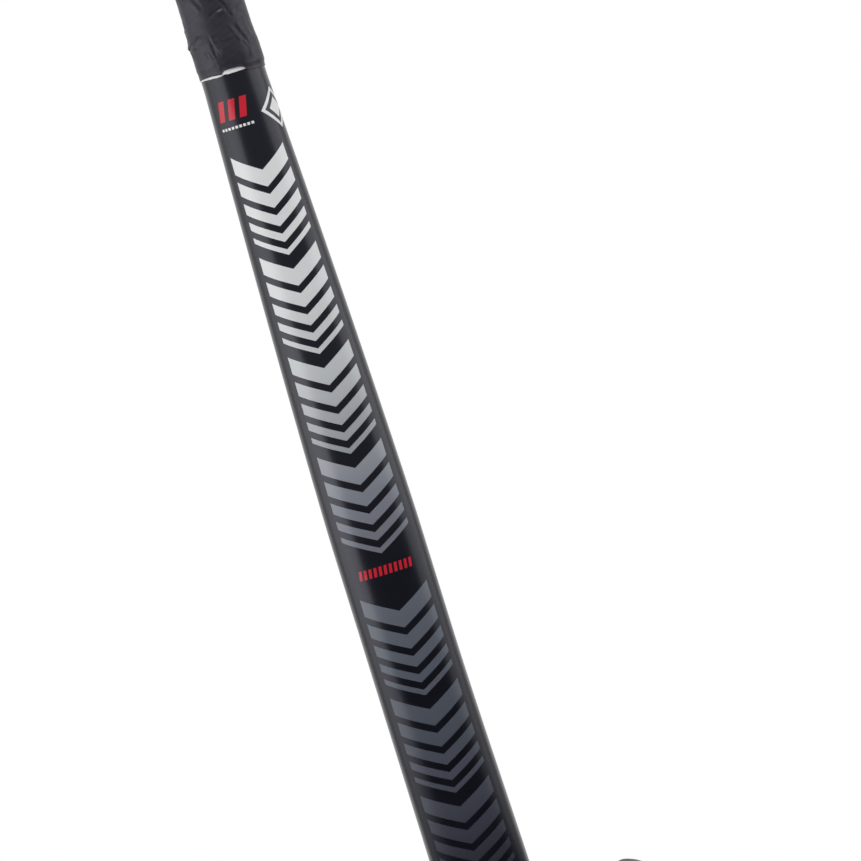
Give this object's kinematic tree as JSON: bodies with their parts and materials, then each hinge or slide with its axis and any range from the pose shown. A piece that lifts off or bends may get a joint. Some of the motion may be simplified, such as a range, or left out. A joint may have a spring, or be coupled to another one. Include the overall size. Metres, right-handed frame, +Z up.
{
  "type": "field hockey stick",
  "caption": "Right-handed field hockey stick: round wound grip, bowed laminate shaft widening down to a flat-faced hooked head, hollow handle with a butt cap.",
  "frame": {"origin": "on the handle's axis, 50 mm below the end of the butt, where the upper hand closes", "axes": "+Z up the handle's axis to the butt, +X towards the toe, +Y out of the flat playing side, -Y the rounded back"},
  "size_m": [0.1065, 0.0683, 0.9226],
  "materials": {
    "lacquered_laminate": "satin black lacquer over carbon and glass laminate, with a printed column of bars on the back",
    "core_resin": "rigid foamed resin",
    "nylon_film": "thin translucent nylon tube",
    "rigid_foam": "rigid foam",
    "plug_plastic": "moulded plastic",
    "cap_rubber": "moulded rubber",
    "white_underlay": "white adhesive tape",
    "cushion_grip": "soft matte cushion strip",
    "band_rubber": "stretched matte rubber band with creases"
  },
  "bodies": {
    "root": {"laminate_shell": "lacquered_laminate", "head_core": "core_resin", "bladder_tube": "nylon_film", "handle_foam": "rigid_foam", "butt_plug": "plug_plastic", "butt_cap": "cap_rubber", "grip_underlay": "white_underlay", "grip_wrap": "cushion_grip", "finishing_band": "band_rubber"}
  },
  "joints": []
}
